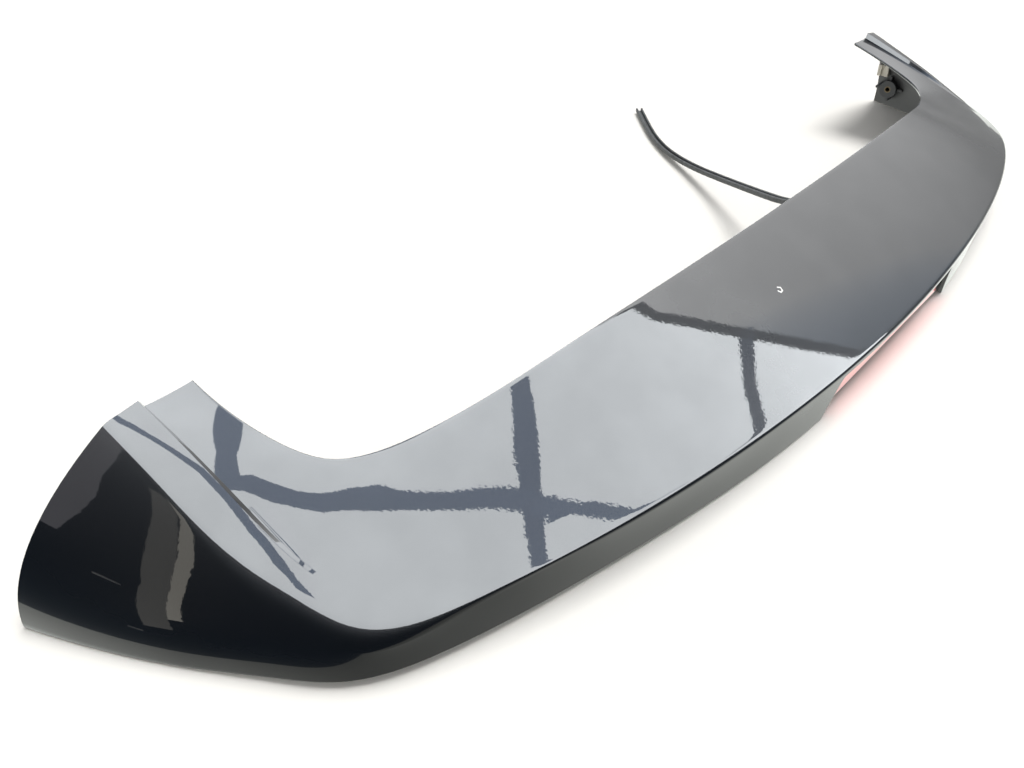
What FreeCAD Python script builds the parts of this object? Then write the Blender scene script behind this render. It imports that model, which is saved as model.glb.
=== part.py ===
import FreeCAD, Part
import Sketcher
import math
import os

# Roof-edge car spoiler, lying the right way up on the floor.
# X runs across the car, +Y towards the front (the leg tips), +Z up, in millimetres.

Vector = FreeCAD.Vector
doc = FreeCAD.newDocument("Spoiler")
sheet = doc.addObject("Spreadsheet::Sheet", "Sizes")
sheet_row = 0


def put(alias, value):
    """Write one driving dimension into the next row of the sheet."""
    global sheet_row
    sheet_row += 1
    sheet.set("A%d" % sheet_row, alias)
    sheet.set("B%d" % sheet_row, str(value))
    sheet.setAlias("B%d" % sheet_row, alias)


# Stations of the skin, from a leg's tip round the corner to the middle of the span.
# Each is an upright section that starts on the leading edge and looks outwards:
# lead_x, lead_y, lead_z place its leading edge, turn is its heading below the X axis in degrees,
# chord runs from the leading edge to the crest, hem from the leading edge to the bottom edge,
# crown is how far the top stands above its chord, crease where the step starts, step its height,
# and round the length of the crest's rounding.
FIELDS = ("lead_x", "lead_y", "lead_z", "turn", "chord", "crest_z", "hem", "hem_z",
          "crown", "crease", "step", "round")
STATIONS = {
    "tip":      (463.8, 148.0, 113.8, 0.0, 57.2, 116.0, 140.2, 0.1, -3.0, 33.7, 6.2, 3.0),
    "leg":      (459.5, 88.0, 93.0, 0.0, 58.7, 91.0, 119.4, 0.1, -0.5, 34.7, 4.0, 4.0),
    "root":     (444.0, 45.5, 79.3, 4.0, 73.0, 71.5, 109.0, 1.0, 3.0, 48.7, 2.4, 6.0),
    "elbow":    (425.0, 28.4, 76.4, 17.4, 88.0, 55.5, 107.4, 3.0, 4.5, 68.0, 0.9, 9.0),
    "corner":   (399.4, 17.0, 78.4, 30.0, 112.5, 38.0, 116.0, 5.0, 4.5, 90.0, 0.0, 10.0),
    "shoulder": (357.0, 3.8, 88.0, 40.6, 115.8, 37.5, 111.9, 5.0, 4.0, 94.0, 0.0, 5.0),
    "flank":    (290.0, -11.0, 99.5, 56.0, 108.7, 43.0, 99.7, 2.5, 3.5, 86.0, 0.0, 2.5),
    "quarter":  (150.0, -22.4, 108.5, 75.0, 111.0, 42.7, 104.5, 0.3, 3.0, 86.0, 0.0, 2.5),
    "middle":   (0.0, -25.2, 110.0, 90.0, 112.4, 40.0, 105.8, 0.3, 3.0, 86.0, 0.0, 2.5),
}
for station, values in STATIONS.items():
    for field, value in zip(FIELDS, values):
        put(station + "_" + field, value)

# Wall of the skin, the step's width, how high the skirt's pole stands between hem and crest,
# how far along the pole of a skirt that tucks in stands, and the gap at each bonded seat.
put("wall", 3.0)
put("step_width", 5.0)
put("skirt_pole", 0.54)
put("skirt_tuck", 0.6)
put("seat_gap", 0.3)
put("floor_room", 25.0)
# Front cut of the legs, a slanting plane: where it stands at the floor and at the top.
put("tip_foot_y", 137.2)
put("tip_top_y", 129.2)
put("tip_top_z", 110.0)
# Lamp opening in the rear band, open at the bottom.
put("opening_low_width", 244.0)
put("opening_high_width", 216.0)
put("opening_top", 35.0)
put("opening_depth", 14.0)
# Lower panel under the span.
put("panel_wall", 2.5)
put("flange_start", 8.0)
put("flange_end", 28.0)
put("panel_knee", 52.0)
put("floor_lift", 2.5)
put("lip_height", 12.0)
# Studs through the lower panel's bosses.
put("stud_radius", 3.0)
put("stud_length", 18.0)
put("stud_head_radius", 4.5)
put("stud_head_length", 8.0)
put("stud_inner_spacing", 150.0)
put("stud_outer_spacing", 450.0)
put("stud_height", 46.0)
put("stud_face_y", -46.0)
put("stud_boss_size", 18.0)
put("stud_boss_length", 30.0)
put("stud_pad_thick", 4.0)
put("stud_pad_room", 1.4)
put("slide_clearance", 0.1)
# Brake lamp behind the opening.
put("lamp_setback", 13.0)
put("lamp_high", 30.0)
put("lamp_margin", 6.0)
put("lens_thick", 3.0)
put("gasket_thick", 1.5)
put("gasket_width", 3.0)
put("housing_depth", 20.0)
put("housing_wall", 2.0)
put("board_thick", 1.6)
put("board_stand", 9.0)
put("post_size", 6.0)
put("post_spacing", 100.0)
put("led_count", 9)
put("led_spacing", 20.0)
put("led_size", 5.0)
put("led_thick", 1.6)
put("lamp_screw_spacing", 150.0)
put("lamp_screw_radius", 1.9)
put("lamp_screw_length", 11.0)
put("lamp_screw_head", 4.0)
put("lamp_screw_head_thick", 1.8)
put("screw_boss_size", 7.2)
put("screw_boss_height", 9.0)
put("socket_width", 22.0)
put("socket_height", 12.0)
put("socket_depth", 9.0)
put("socket_wall", 1.5)
# Ribbed boss, threaded insert and clip inside each leg. The boss and the clip reach inwards
# from where the leg's hem stands.
put("boss_y", 112.0)
put("boss_z", 28.0)
put("boss_radius", 11.0)
put("boss_reach", 11.9)
put("rib_length", 36.0)
put("rib_height", 32.0)
put("rib_thick", 3.0)
put("rib_drop", 4.0)
put("insert_radius", 4.0)
put("insert_bore", 3.0)
put("insert_length", 9.0)
put("clip_y", 124.0)
put("clip_z", 50.0)
put("clip_size", 14.0)
put("clip_reach", 9.9)
put("clip_slot", 5.0)
# Rubber strip under the leading edge, and its loose end.
put("strip_width", 9.0)
put("strip_groove", 4.0)
put("strip_start", 10.5)
put("strip_end_x", -12.3)
# Reach of the cutting tools past the part.
put("tool_reach", 150.0)

doc.recompute()


def size(alias):
    return float(sheet.get(alias))


class Section:
    """One upright section of the skin, worked out from its station's row."""

    def __init__(self, name, side):
        self.side = side
        for field in FIELDS:
            setattr(self, field, size(name + "_" + field))
        self.heading = math.radians(-self.turn)

    def place(self, out, up):
        """Turn a point of the section (distance out from the leading edge, height) into space."""
        x = self.lead_x + out * math.cos(self.heading)
        y = self.lead_y + out * math.sin(self.heading)
        return Vector(self.side * x, y, up)

    def top(self, out, inset):
        """Height of the top, without its step, moved inwards by inset."""
        fall = (self.crest_z - self.lead_z) / self.chord
        share = out / self.chord
        drop = inset * math.hypot(1.0, fall)
        return self.lead_z + fall * out + 4.0 * self.crown * share * (1.0 - share) - drop

    def top_slope(self, out):
        fall = (self.crest_z - self.lead_z) / self.chord
        return fall + 4.0 * self.crown * (1.0 - 2.0 * out / self.chord) / self.chord

    def rail_slope(self):
        return -self.step / (self.chord - self.crease - size("step_width"))

    def rail(self, out, inset):
        """Height of the raised rail between the step and the crest."""
        return self.top(out, inset) + self.rail_slope() * (out - self.chord)

    def skirt(self, inset):
        """Pole and foot of the skirt's curve, moved inwards by inset, and its direction at the crest."""
        lean = (self.hem - self.chord) / (self.crest_z - self.hem_z)
        back = inset * math.hypot(1.0, lean)
        reach = 1.0 if self.hem > self.chord else size("skirt_tuck")
        pole_out = self.chord + reach * (self.hem - self.chord)
        pole_up = self.hem_z + size("skirt_pole") * (self.crest_z - self.hem_z)
        heading = (pole_out - self.chord, pole_up - self.crest_z)
        return (pole_out - back, pole_up), (self.hem - back, self.hem_z), heading

    def skin(self, inset, rounding):
        """Poles of the skin's curves from the leading edge to the hem: top, step, rail, crest and skirt.

        With no rounding the rail and the skirt meet in a plain corner, as they do inside.
        """
        lower = self.crease
        upper = self.crease + size("step_width")
        pole, foot, heading = self.skirt(inset)
        last = self.chord - inset - rounding
        slope = self.top_slope(last) + self.rail_slope()
        # The crest's corner is where the rail's tangent meets the skirt's.
        lean = heading[0] / heading[1]
        corner_up = ((self.rail(last, inset) + slope * (pole[0] - last - lean * pole[1]))
                     / (1.0 - slope * lean))
        corner = (pole[0] + lean * (corner_up - pole[1]), corner_up)
        half = 0.5 * size("step_width")
        rail_slope = self.top_slope(upper) + self.rail_slope()
        rail_end = (last, self.rail(last, inset)) if rounding else corner
        rail_middle = 0.5 * (upper + rail_end[0])
        length = math.hypot(*heading)
        skirt_start = (corner[0] + rounding * heading[0] / length, corner[1] + rounding * heading[1] / length)
        bands = [
            ((0.0, self.top(0.0, inset)),
             (0.5 * lower, self.top(0.0, inset) + self.top_slope(0.0) * 0.5 * lower),
             (lower, self.top(lower, inset))),
            ((lower, self.top(lower, inset)),
             (lower + half, self.top(lower, inset) + self.top_slope(lower) * half + 0.5 * self.step),
             (upper, self.rail(upper, inset))),
            ((upper, self.rail(upper, inset)),
             (rail_middle, self.rail(upper, inset) + rail_slope * (rail_middle - upper)),
             rail_end),
        ]
        if rounding:
            bands.append((rail_end, corner, skirt_start))
        return bands + [(skirt_start, pole, foot)]

    def wall_bands(self):
        """Poles round the wall: the outer skin, the hem, the inner skin and the leading edge."""
        outer = self.skin(0.0, self.round)
        inner = [poles[::-1] for poles in self.skin(size("wall"), 0.0)[::-1]]
        return outer + [straight(outer[-1][2], inner[0][0])] + inner + [straight(inner[-1][2], outer[0][0])]

    def room_bands(self):
        """Poles round the room under the skin, which goes down past the floor."""
        roof = self.skin(size("wall") + size("seat_gap"), 0.0)
        below = self.hem_z - size("floor_room")
        start = roof[0][0]
        foot = roof[-1][2]
        corners = (foot, (foot[0], below), (start[0], below), start)
        return roof + [straight(a, b) for a, b in zip(corners, corners[1:])]

    def panel_bands(self):
        """Outline of the lower panel: flange, web, floor and lip. Its flange and lip pass into the skin."""
        wall = size("wall")
        thick = size("panel_wall")
        first = size("flange_start")
        last = size("flange_end")
        knee = size("panel_knee")
        under = wall + size("seat_gap") + thick
        floor = self.hem_z + size("floor_lift")
        lip = self.hem - under - size("seat_gap")
        corners = (
            (first, self.top(first, wall)),
            (last, self.top(last, wall)),
            (knee + thick, floor + thick),
            (lip, floor + thick),
            (lip, self.hem_z + size("lip_height")),
            (self.hem, self.hem_z + size("lip_height")),
            (self.hem, floor),
            (knee, floor),
            (last - thick, self.top(last - thick, under)),
            (first, self.top(first, under)),
        )
        return closed(corners)

    def strip_bands(self):
        """Outline of the rubber strip: a channel, open downwards, under the panel's flange."""
        fall = (self.crest_z - self.lead_z) / self.chord
        tilt = math.atan(fall)
        width = size("strip_width")
        groove = size("strip_groove")
        side = 0.5 * (width - groove)
        start = size("strip_start")
        roof = size("wall") + 2.0 * size("seat_gap") + size("panel_wall")
        profile = ((0.0, 0.0), (width, 0.0), (width, width), (width - side, width), (width - side, side),
                   (side, side), (side, width), (0.0, width))
        corners = []
        for along, down in profile:
            out = start + along * math.cos(tilt) + down * math.sin(tilt)
            up = self.top(start, roof) + along * math.sin(tilt) - down * math.cos(tilt)
            corners.append((out, up))
        return closed(corners)


def closed(corners):
    """Straight bands round a closed outline."""
    return [straight(a, b) for a, b in zip(corners, corners[1:] + corners[:1])]


def straight(start, end):
    """A straight stretch of a section, as the three poles that every band has."""
    return start, tuple(0.5 * (a + b) for a, b in zip(start, end)), end


def bezier(poles):
    curve = Part.BezierCurve()
    curve.setPoles(poles)
    return curve.toShape()


def skinned(sections, bands):
    """Solid whose bands run smoothly through the sections, closed by a flat face at each end.

    bands(section) gives the poles of each band. One spline in the parameter of the crest line
    runs through each pole, so that neighbouring bands share their edges.
    """
    rows = [[[section.place(*pole) for pole in band] for band in bands(section)] for section in sections]
    crest = [section.place(section.chord, section.crest_z) for section in sections]
    spots = [0.0]
    for before, after in zip(crest, crest[1:]):
        spots.append(spots[-1] + before.distanceToPoint(after))
    faces = []
    for index in range(len(rows[0])):
        lines = []
        for pole in range(3):
            line = Part.BSplineCurve()
            line.interpolate(Points=[row[index][pole] for row in rows], Parameters=spots)
            lines.append(line)
        surface = Part.BSplineSurface()
        surface.buildFromPolesMultsKnots([line.getPoles() for line in lines], [3, 3], lines[0].getMultiplicities(),
                                         [0.0, 1.0], lines[0].getKnots(), False, False, 2, lines[0].Degree)
        faces.append(surface.toShape())
    for row in (rows[0], rows[-1]):
        faces.append(Part.Face(Part.Wire([bezier(poles) for poles in row])))
    shell = Part.makeShell(faces)
    shell.sewShape()
    solid = Part.makeSolid(shell)
    if solid.Volume < 0.0:
        solid.reverse()
    return solid


def both_sides(names):
    """Sections from the left leg over the middle to the right leg."""
    left = [Section(name, -1.0) for name in names]
    return left + [Section(name, 1.0) for name in names[-2::-1]]


def feature(name, shape):
    """Object of the document that holds a shape made here."""
    made = doc.addObject("Part::Feature", name)
    made.Shape = shape
    return made


def bound(kind, name, turn=None, **expressions):
    """Part primitive whose properties follow expressions on the sheet."""
    made = doc.addObject(kind, name)
    if turn is not None:
        made.Placement = FreeCAD.Placement(Vector(), FreeCAD.Rotation(*turn))
    for key, expression in expressions.items():
        path = "Placement.Base." + key if key in ("x", "y", "z") else key
        made.setExpression(path, expression)
    return made


def boolean(kind, name, base, tool):
    made = doc.addObject("Part::" + kind, name)
    made.Base = base
    made.Tool = tool
    return made


def union(name, shapes):
    made = doc.addObject("Part::MultiFuse", name)
    made.Shapes = shapes
    return made


def group(name, pieces):
    """Separate solids in one object."""
    made = doc.addObject("Part::Compound", name)
    made.Links = pieces
    return made


def mirrored(name, source):
    """The same piece on the other side of the car."""
    made = doc.addObject("Part::Mirroring", name)
    made.Source = source
    made.Normal = Vector(1.0, 0.0, 0.0)
    return made


ALONG_X = (Vector(0.0, 1.0, 0.0), 90.0)
ALONG_Y = (Vector(1.0, 0.0, 0.0), -90.0)
WHOLE = list(STATIONS)
SPAN = ["flank", "quarter", "middle"]


def trapezoid(body, name, low_width, high_width, low, high):
    """Sketch of an upright trapezoid, even about the middle of the car."""
    sketch = body.newObject("Sketcher::SketchObject", name)
    plane = next(item for item in body.Origin.OriginFeatures if item.Role == "XZ_Plane")
    sketch.AttachmentSupport = [(plane, "")]
    sketch.MapMode = "FlatFace"
    corners = [Vector(-60.0, 5.0, 0.0), Vector(60.0, 5.0, 0.0), Vector(50.0, 30.0, 0.0), Vector(-50.0, 30.0, 0.0)]
    for start, end in zip(corners, corners[1:] + corners[:1]):
        sketch.addGeometry(Part.LineSegment(start, end), False)
    for index in range(4):
        sketch.addConstraint(Sketcher.Constraint("Coincident", index, 2, (index + 1) % 4, 1))
    sketch.addConstraint(Sketcher.Constraint("Symmetric", 0, 1, 0, 2, -2))
    sketch.addConstraint(Sketcher.Constraint("Symmetric", 2, 1, 2, 2, -2))
    named = (("low_width", ("DistanceX", 0, 1, 0, 2, 120.0), low_width),
             ("high_width", ("DistanceX", 2, 2, 2, 1, 100.0), high_width),
             ("low", ("DistanceY", -1, 1, 0, 1, 5.0), low),
             ("high", ("DistanceY", -1, 1, 2, 1, 30.0), high))
    for constraint_name, parts, expression in named:
        index = sketch.addConstraint(Sketcher.Constraint(*parts))
        sketch.renameConstraint(index, constraint_name)
        sketch.setExpression("Constraints." + constraint_name, expression)
    return sketch


def padded(body, sketch, length):
    pad = body.newObject("PartDesign::Pad", sketch.Name + "_pad")
    pad.Profile = sketch
    pad.setExpression("Length", length)
    return pad


def pocketed(body, sketch, length):
    """Pocket from the sketch's plane towards the rear."""
    pocket = body.newObject("PartDesign::Pocket", sketch.Name + "_pocket")
    pocket.Profile = sketch
    pocket.Reversed = True
    pocket.setExpression("Length", length)
    return pocket


def body_at(name, y):
    body = doc.addObject("PartDesign::Body", name)
    body.setExpression("Placement.Base.y", y)
    return body


# Places that several pieces share, as expressions on the sheet.
LENS_FRONT = "(Sizes.middle_lead_y - Sizes.middle_chord + Sizes.lamp_setback)"
LENS_BACK = "(%s + Sizes.lens_thick)" % LENS_FRONT
GASKET_BACK = "(%s + Sizes.gasket_thick)" % LENS_BACK
HOUSING_BACK = "(%s + Sizes.housing_depth)" % GASKET_BACK
BACK_WALL = "(%s - Sizes.housing_wall)" % HOUSING_BACK
BOARD_BACK = "(%s - Sizes.board_stand)" % BACK_WALL
LAMP_FLOOR = "(Sizes.middle_hem_z + Sizes.floor_lift + Sizes.panel_wall + Sizes.seat_gap)"
LAMP_MIDDLE = "(%s + Sizes.lamp_high) / 2" % LAMP_FLOOR
SCREW_Y = "(%s - Sizes.screw_boss_size / 2)" % BACK_WALL
PANEL_UNDER = "(Sizes.middle_hem_z + Sizes.floor_lift)"
HEAD_TOP = "(%s - Sizes.seat_gap)" % PANEL_UNDER


def lamp_width(height, inset):
    """Width of the lamp at a height, inside the opening's slanted ends."""
    taper = "(Sizes.opening_low_width - Sizes.opening_high_width) / Sizes.opening_top"
    return "Sizes.opening_low_width - 2 * Sizes.lamp_margin - %s * %s - 2 * %s" % (taper, height, inset)


def lamp_outline(body, name, inset):
    """The lamp's outline, drawn in by inset on every side."""
    low = "%s + %s" % (LAMP_FLOOR, inset)
    high = "Sizes.lamp_high - %s" % inset
    return trapezoid(body, name, lamp_width("(%s)" % low, inset), lamp_width("(%s)" % high, inset), low, high)


# Outer shell: the skin, its front cuts and the lamp opening.
skin = feature("skin", skinned(both_sides(WHOLE), Section.wall_bands))
TIP_SLANT = "(Sizes.tip_foot_y - Sizes.tip_top_y) / Sizes.tip_top_z"
OUTSIDE_X = "(Sizes.tip_lead_x + Sizes.tip_hem + Sizes.tool_reach)"
tip_cut = bound("Part::Box", "tip_cut", (Vector(1.0, 0.0, 0.0), 0.0), Length="2 * %s" % OUTSIDE_X,
                Width="Sizes.tool_reach", Height="2 * Sizes.tool_reach", x="-1 * %s" % OUTSIDE_X,
                y="Sizes.tip_foot_y + Sizes.wall * %s" % TIP_SLANT, z="-Sizes.wall")
tip_cut.setExpression("Placement.Rotation.Angle", "atan(%s)" % TIP_SLANT)
trimmed_skin = boolean("Cut", "trimmed_skin", skin, tip_cut)
opening = body_at("opening", "Sizes.middle_lead_y - Sizes.middle_chord + Sizes.opening_depth")
opening_sketch = trapezoid(opening, "opening_outline",
                           "Sizes.opening_low_width + 2 * Sizes.wall * (Sizes.opening_low_width"
                           " - Sizes.opening_high_width) / (2 * Sizes.opening_top)",
                           "Sizes.opening_high_width", "Sizes.middle_hem_z - Sizes.wall", "Sizes.opening_top")
padded(opening, opening_sketch, "Sizes.opening_depth * 2")
outer_shell = boolean("Cut", "outer_shell", trimmed_skin, opening)

# Room under the skin, which the inner pieces are fitted to.
room = feature("room", skinned(both_sides(WHOLE), Section.room_bands))
doc.recompute()

# Lower panel with its stud bosses, fitted under the skin.
panel_sheet = feature("panel_sheet", skinned(both_sides(SPAN), Section.panel_bands))
stud_places = ["%s * Sizes.%s / 2" % (side, spacing) for spacing in ("stud_inner_spacing", "stud_outer_spacing")
               for side in ("-1", "1")]
bosses = []
bores = []
studs = []
pads = []
for index, place in enumerate(stud_places):
    bosses.append(bound("Part::Box", "stud_boss_%d" % index, Length="Sizes.stud_boss_size",
                        Width="Sizes.stud_boss_length", Height="Sizes.stud_boss_size",
                        x="%s - Sizes.stud_boss_size / 2" % place, z="Sizes.stud_height - Sizes.stud_boss_size / 2",
                        y="Sizes.stud_face_y - Sizes.stud_boss_length"))
    bores.append(bound("Part::Cylinder", "stud_bore_%d" % index, ALONG_Y,
                       Radius="Sizes.stud_head_radius + Sizes.slide_clearance", Height="Sizes.stud_head_length",
                       x=place, y="Sizes.stud_face_y - Sizes.stud_head_length", z="Sizes.stud_height"))
    head = bound("Part::Cylinder", "stud_head_%d" % index, ALONG_Y, Radius="Sizes.stud_head_radius",
                 Height="Sizes.stud_head_length", x=place, z="Sizes.stud_height",
                 y="Sizes.stud_face_y - Sizes.stud_head_length")
    shank = bound("Part::Cylinder", "stud_shank_%d" % index, ALONG_Y, Radius="Sizes.stud_radius",
                  Height="Sizes.stud_length", x=place, y="Sizes.stud_face_y", z="Sizes.stud_height")
    studs.append(boolean("Fuse", "stud_%d" % index, head, shank))
    block = bound("Part::Box", "pad_block_%d" % index, Length="Sizes.stud_boss_size", Width="Sizes.stud_pad_thick",
                  Height="Sizes.stud_boss_size", x="%s - Sizes.stud_boss_size / 2" % place, y="Sizes.stud_face_y",
                  z="Sizes.stud_height - Sizes.stud_boss_size / 2")
    hole = bound("Part::Cylinder", "pad_hole_%d" % index, ALONG_Y,
                 Radius="Sizes.stud_radius + Sizes.stud_pad_room", Height="Sizes.stud_pad_thick", x=place,
                 y="Sizes.stud_face_y", z="Sizes.stud_height")
    pads.append(boolean("Cut", "pad_%d" % index, block, hole))
screw_places = ["%s * Sizes.lamp_screw_spacing / 2" % side for side in ("-1", "1")]
for index, place in enumerate(screw_places):
    bores.append(bound("Part::Cylinder", "panel_hole_%d" % index, Height="4 * Sizes.panel_wall",
                       Radius="Sizes.lamp_screw_radius + Sizes.slide_clearance", x=place, y=SCREW_Y,
                       z="%s - Sizes.panel_wall" % PANEL_UNDER))
panel_blank = union("panel_blank", [panel_sheet] + bosses)
panel_bores = union("panel_bores", bores)
panel_bored = boolean("Cut", "panel_bored", panel_blank, panel_bores)
panel_open = boolean("Cut", "panel_open", panel_bored, opening)
lamp_room = body_at("lamp_room", HOUSING_BACK)
padded(lamp_room, lamp_outline(lamp_room, "lamp_room_outline", "(-Sizes.seat_gap / 2)"), "Sizes.tool_reach")
panel_cleared = boolean("Cut", "panel_cleared", panel_open, lamp_room)
lower_panel = boolean("Common", "lower_panel", panel_cleared, room)
mounting_studs = group("mounting_studs", studs)
stud_seals = group("stud_seals", pads)

# Brake lamp: lens, gasket, housing, board, lights, screws and socket.
lamp_lens = body_at("lamp_lens", LENS_BACK)
padded(lamp_lens, lamp_outline(lamp_lens, "lens_outline", "0"), "Sizes.lens_thick")

lamp_gasket = body_at("lamp_gasket", GASKET_BACK)
padded(lamp_gasket, lamp_outline(lamp_gasket, "gasket_outline", "0"), "Sizes.gasket_thick")
doc.recompute()
pocketed(lamp_gasket, lamp_outline(lamp_gasket, "gasket_window", "Sizes.gasket_width"), "2 * Sizes.gasket_thick")

housing_tray = body_at("housing_tray", HOUSING_BACK)
padded(housing_tray, lamp_outline(housing_tray, "housing_outline", "0"), "Sizes.housing_depth")
doc.recompute()
tray_sketch = lamp_outline(housing_tray, "housing_inside", "Sizes.housing_wall")
tray_sketch.setExpression("AttachmentOffset.Base.z", "Sizes.housing_wall")
pocketed(housing_tray, tray_sketch, "Sizes.housing_depth")
posts = []
for index, side in enumerate(("-1", "1")):
    posts.append(bound("Part::Box", "board_post_%d" % index, Length="Sizes.post_size",
                       Width="Sizes.board_stand + Sizes.housing_wall / 2", Height="Sizes.post_size",
                       x="%s * Sizes.post_spacing / 2 - Sizes.post_size / 2" % side, y=BOARD_BACK,
                       z="%s - Sizes.post_size / 2" % LAMP_MIDDLE))
screw_bosses = []
screw_holes = []
screws = []
for index, place in enumerate(screw_places):
    screw_bosses.append(bound("Part::Box", "screw_boss_%d" % index, Length="Sizes.screw_boss_size",
                              Width="Sizes.screw_boss_size + Sizes.housing_wall / 2",
                              Height="Sizes.screw_boss_height", x="%s - Sizes.screw_boss_size / 2" % place,
                              y="%s - Sizes.screw_boss_size" % BACK_WALL,
                              z="%s + Sizes.housing_wall / 2" % LAMP_FLOOR))
    screw_holes.append(bound("Part::Cylinder", "screw_hole_%d" % index, Height="Sizes.lamp_screw_length",
                             Radius="Sizes.lamp_screw_radius + Sizes.slide_clearance / 2", x=place, y=SCREW_Y,
                             z=PANEL_UNDER))
    head = bound("Part::Prism", "screw_head_%d" % index, Circumradius="Sizes.lamp_screw_head",
                 Height="Sizes.lamp_screw_head_thick", x=place, y=SCREW_Y,
                 z="%s - Sizes.lamp_screw_head_thick" % HEAD_TOP)
    shank = bound("Part::Cylinder", "screw_shank_%d" % index, Radius="Sizes.lamp_screw_radius",
                  Height="Sizes.lamp_screw_length", x=place, y=SCREW_Y, z=HEAD_TOP)
    screws.append(boolean("Fuse", "screw_%d" % index, head, shank))
housing_blank = union("housing_blank", [housing_tray] + posts + screw_bosses)
lamp_housing = boolean("Cut", "lamp_housing", housing_blank, union("screw_hole_set", screw_holes))
lamp_screws = group("lamp_screws", screws)

lamp_board = body_at("lamp_board", BOARD_BACK)
padded(lamp_board, lamp_outline(lamp_board, "board_outline", "(Sizes.housing_wall + Sizes.seat_gap)"),
       "Sizes.board_thick")

leds = []
led_total = int(size("led_count"))
for index in range(led_total):
    leds.append(bound("Part::Box", "led_%d" % index, Length="Sizes.led_size", Width="Sizes.led_thick",
                      Height="Sizes.led_size",
                      x="%g * Sizes.led_spacing - Sizes.led_size / 2" % (index - 0.5 * (led_total - 1)),
                      y="%s - Sizes.board_thick - Sizes.led_thick" % BOARD_BACK,
                      z="%s - Sizes.led_size / 2" % LAMP_MIDDLE))
lamp_leds = group("lamp_leds", leds)

SOCKET_FOOT = "%s - Sizes.socket_height / 2" % LAMP_MIDDLE
socket_block = bound("Part::Box", "socket_block", Length="Sizes.socket_width", Width="Sizes.socket_depth",
                     Height="Sizes.socket_height", x="-Sizes.socket_width / 2", y=HOUSING_BACK, z=SOCKET_FOOT)
socket_mouth = bound("Part::Box", "socket_mouth", Length="Sizes.socket_width - 2 * Sizes.socket_wall",
                     Width="Sizes.socket_depth", Height="Sizes.socket_height - 2 * Sizes.socket_wall",
                     x="Sizes.socket_wall - Sizes.socket_width / 2", y="%s + Sizes.socket_wall" % HOUSING_BACK,
                     z="%s + Sizes.socket_wall" % SOCKET_FOOT)
lamp_socket = boolean("Cut", "lamp_socket", socket_block, socket_mouth)

# Boss with crossed ribs, threaded insert and clip inside the right leg, then their likes on the left.
LEG_HEM_X = "(Sizes.leg_lead_x + Sizes.leg_hem)"
BOSS_FACE_X = "(%s - Sizes.boss_reach)" % LEG_HEM_X
CLIP_FACE_X = "(%s - Sizes.clip_reach)" % LEG_HEM_X
boss_bar = bound("Part::Cylinder", "boss_bar", ALONG_X, Radius="Sizes.boss_radius",
                 Height="%s - %s" % (OUTSIDE_X, BOSS_FACE_X), x=BOSS_FACE_X, y="Sizes.boss_y",
                 z="Sizes.boss_z")
RIB_FACE_X = "(%s + Sizes.rib_drop)" % BOSS_FACE_X
long_rib = bound("Part::Box", "long_rib", Length="%s - %s" % (OUTSIDE_X, RIB_FACE_X), Width="Sizes.rib_length",
                 Height="Sizes.rib_thick", x=RIB_FACE_X, y="Sizes.boss_y - Sizes.rib_length / 2",
                 z="Sizes.boss_z - Sizes.rib_thick / 2")
tall_rib = bound("Part::Box", "tall_rib", Length="%s - %s" % (OUTSIDE_X, RIB_FACE_X), Width="Sizes.rib_thick",
                 Height="Sizes.rib_height", x=RIB_FACE_X, y="Sizes.boss_y - Sizes.rib_thick / 2",
                 z="Sizes.boss_z - Sizes.rib_height / 2")
boss_fitted = boolean("Common", "boss_fitted", union("boss_blank", [boss_bar, long_rib, tall_rib]), room)
insert_seat = bound("Part::Cylinder", "insert_seat", ALONG_X,
                    Radius="Sizes.insert_radius + Sizes.slide_clearance / 2", Height="Sizes.insert_length",
                    x=BOSS_FACE_X, y="Sizes.boss_y", z="Sizes.boss_z")
right_leg_boss = boolean("Cut", "right_leg_boss", boss_fitted, insert_seat)
left_leg_boss = mirrored("left_leg_boss", right_leg_boss)

insert_bar = bound("Part::Cylinder", "insert_bar", ALONG_X, Radius="Sizes.insert_radius",
                   Height="Sizes.insert_length", x=BOSS_FACE_X, y="Sizes.boss_y", z="Sizes.boss_z")
insert_hole = bound("Part::Cylinder", "insert_hole", ALONG_X, Radius="Sizes.insert_bore",
                    Height="Sizes.insert_length", x=BOSS_FACE_X, y="Sizes.boss_y", z="Sizes.boss_z")
right_leg_insert = boolean("Cut", "right_leg_insert", insert_bar, insert_hole)
left_leg_insert = mirrored("left_leg_insert", right_leg_insert)

clip_block = bound("Part::Box", "clip_block", Length="%s - %s" % (OUTSIDE_X, CLIP_FACE_X), Width="Sizes.clip_size",
                   Height="Sizes.clip_size", x=CLIP_FACE_X, y="Sizes.clip_y - Sizes.clip_size / 2",
                   z="Sizes.clip_z - Sizes.clip_size / 2")
clip_fitted = boolean("Common", "clip_fitted", clip_block, room)
clip_slot = bound("Part::Box", "clip_slot", Length="Sizes.clip_slot", Width="Sizes.clip_slot",
                  Height="Sizes.clip_size", x="%s - Sizes.clip_slot / 2" % CLIP_FACE_X,
                  y="Sizes.clip_y - Sizes.clip_slot / 2", z="Sizes.clip_z - Sizes.clip_size / 2")
right_side_clip = boolean("Cut", "right_side_clip", clip_fitted, clip_slot)
left_side_clip = mirrored("left_side_clip", right_side_clip)

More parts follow.
